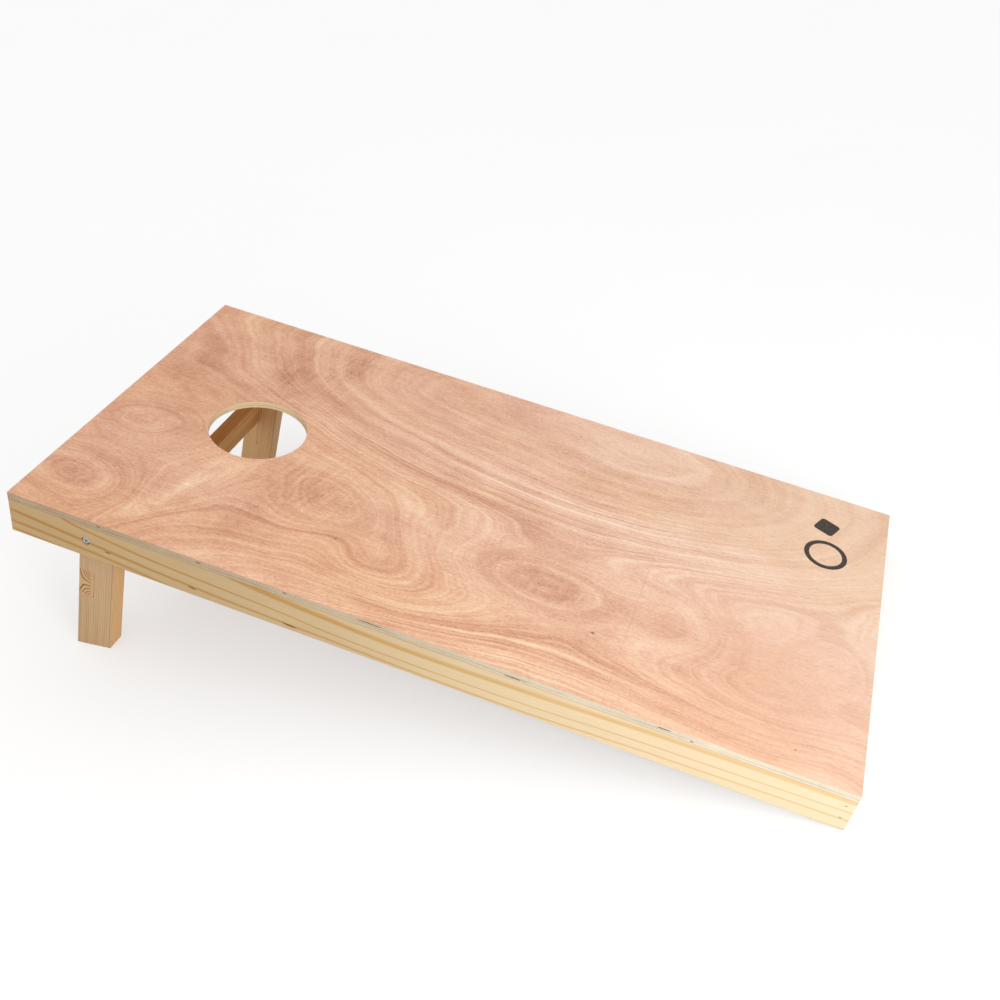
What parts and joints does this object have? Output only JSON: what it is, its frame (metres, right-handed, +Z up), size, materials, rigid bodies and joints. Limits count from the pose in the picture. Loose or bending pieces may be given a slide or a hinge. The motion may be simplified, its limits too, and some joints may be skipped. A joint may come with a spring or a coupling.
{
  "type": "cornhole board",
  "caption": "Sloping bag-toss game board: plywood deck with a round bag hole on a timber frame, with a pair of folding legs under the high end.",
  "frame": {"origin": "on the ground, below the middle of the object's box, in the playing stance", "axes": "+Z up, +X from the high head end to the low foot end, left is -Y as seen by a player who faces the board from its foot end"},
  "size_m": [1.2094, 0.6096, 0.309],
  "materials": {
    "plywood": "sanded pink-tan hardwood face veneer, clear satin",
    "frame_pine": "planed pine with orange-brown growth lines, bare",
    "leg_wood": "planed brown-tan softwood, bare",
    "zinc_steel": "bright zinc plated",
    "nylon": "natural nylon"
  },
  "bodies": {
    "board": {"deck_foot_brad_1": "zinc_steel", "deck_foot_brad_2": "zinc_steel", "deck_foot_brad_3": "zinc_steel", "deck_head_brad_1": "zinc_steel", "deck_head_brad_2": "zinc_steel", "deck_head_brad_3": "zinc_steel", "deck_left_brad_1": "zinc_steel", "deck_left_brad_2": "zinc_steel", "deck_left_brad_3": "zinc_steel", "deck_left_brad_4": "zinc_steel", "deck_left_brad_5": "zinc_steel", "deck_left_brad_6": "zinc_steel", "deck_left_brad_7": "zinc_steel", "deck_panel": "plywood", "deck_right_brad_1": "zinc_steel", "deck_right_brad_2": "zinc_steel", "deck_right_brad_3": "zinc_steel", "deck_right_brad_4": "zinc_steel", "deck_right_brad_5": "zinc_steel", "deck_right_brad_6": "zinc_steel", "deck_right_brad_7": "zinc_steel", "foot_end_rail": "frame_pine", "foot_left_corner_brad_1": "zinc_steel", "foot_left_corner_brad_2": "zinc_steel", "foot_right_corner_brad_1": "zinc_steel", "foot_right_corner_brad_2": "zinc_steel", "head_end_rail": "frame_pine", "head_left_corner_brad_1": "zinc_steel", "head_left_corner_brad_2": "zinc_steel", "head_right_corner_brad_1": "zinc_steel", "head_right_corner_brad_2": "zinc_steel", "left_lock_nut": "zinc_steel", "left_nut_washer": "zinc_steel", "left_nylon_insert": "nylon", "left_pivot_bolt": "zinc_steel", "left_rail_washer": "zinc_steel", "left_side_rail": "frame_pine", "right_lock_nut": "zinc_steel", "right_nut_washer": "zinc_steel", "right_nylon_insert": "nylon", "right_pivot_bolt": "zinc_steel", "right_rail_washer": "zinc_steel", "right_side_rail": "frame_pine"},
    "leg_frame": {"left_leg": "leg_wood", "left_stretcher_screw_1": "zinc_steel", "left_stretcher_screw_2": "zinc_steel", "leg_stretcher": "leg_wood", "right_leg": "leg_wood", "right_stretcher_screw_1": "zinc_steel", "right_stretcher_screw_2": "zinc_steel"}
  },
  "joints": [
    {"name": "leg_fold", "type": "hinge", "parent": "board", "child": "leg_frame", "pos_m": [-0.47973, 0, 0.24421], "axis": [0, -1, 0], "range_deg": [0, 96]}
  ]
}
